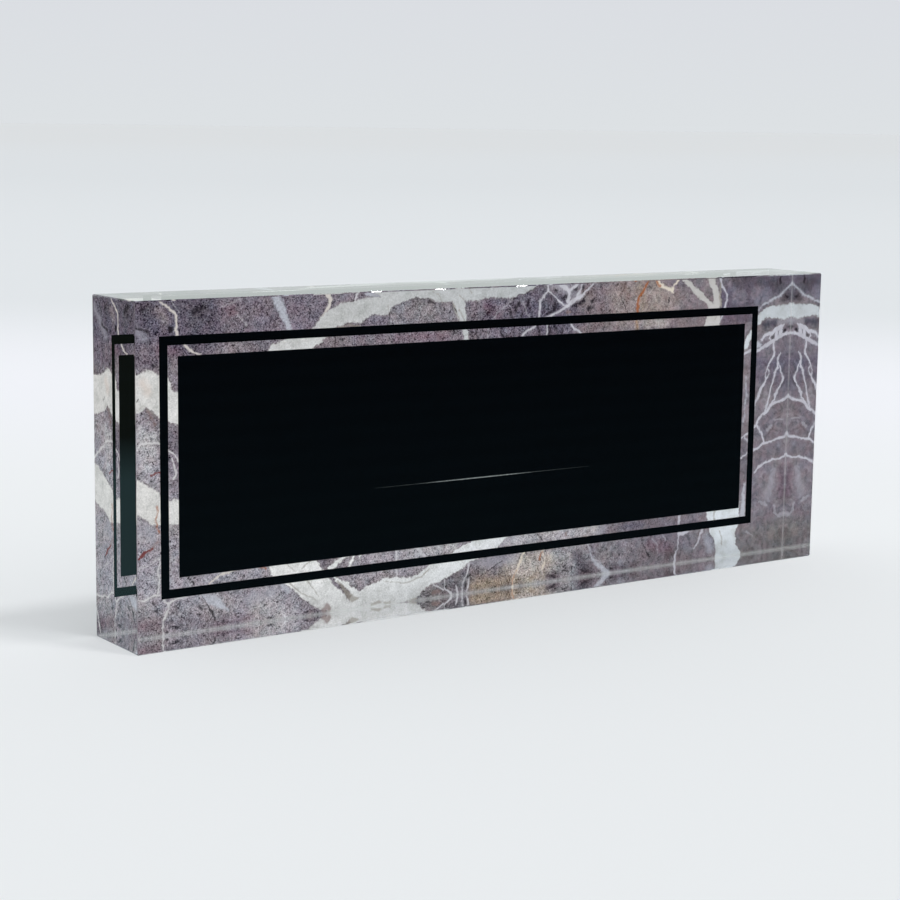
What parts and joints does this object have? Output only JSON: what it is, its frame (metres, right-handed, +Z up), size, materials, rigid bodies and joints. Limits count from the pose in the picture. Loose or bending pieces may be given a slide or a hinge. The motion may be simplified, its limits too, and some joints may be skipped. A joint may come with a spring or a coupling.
{
  "type": "desk name plate",
  "caption": "Thick clear acrylic desk block with a print on its back: a marble border, a black frame line and a blank black name panel.",
  "frame": {"origin": "on the desk, under the middle of the plate: the centre of the footprint of the block and its back layers", "axes": "+X along the plate's length, +Y from the front face to the printed back, +Z up"},
  "size_m": [0.2, 0.0204, 0.076],
  "materials": {
    "clear_acrylic": "polished",
    "marble_ink": "satin",
    "black_ink": "satin",
    "rule_ink": "satin",
    "white_ink": "satin",
    "cover_adhesive": "gloss",
    "cover_vinyl": "matte"
  },
  "bodies": {
    "root": {"acrylic_block": "clear_acrylic", "marble_border": "marble_ink", "frame_line": "black_ink", "marble_band": "marble_ink", "name_panel": "black_ink", "divider_rule": "rule_ink", "white_flood": "white_ink", "cover_adhesive": "cover_adhesive", "back_cover": "cover_vinyl"}
  },
  "joints": []
}
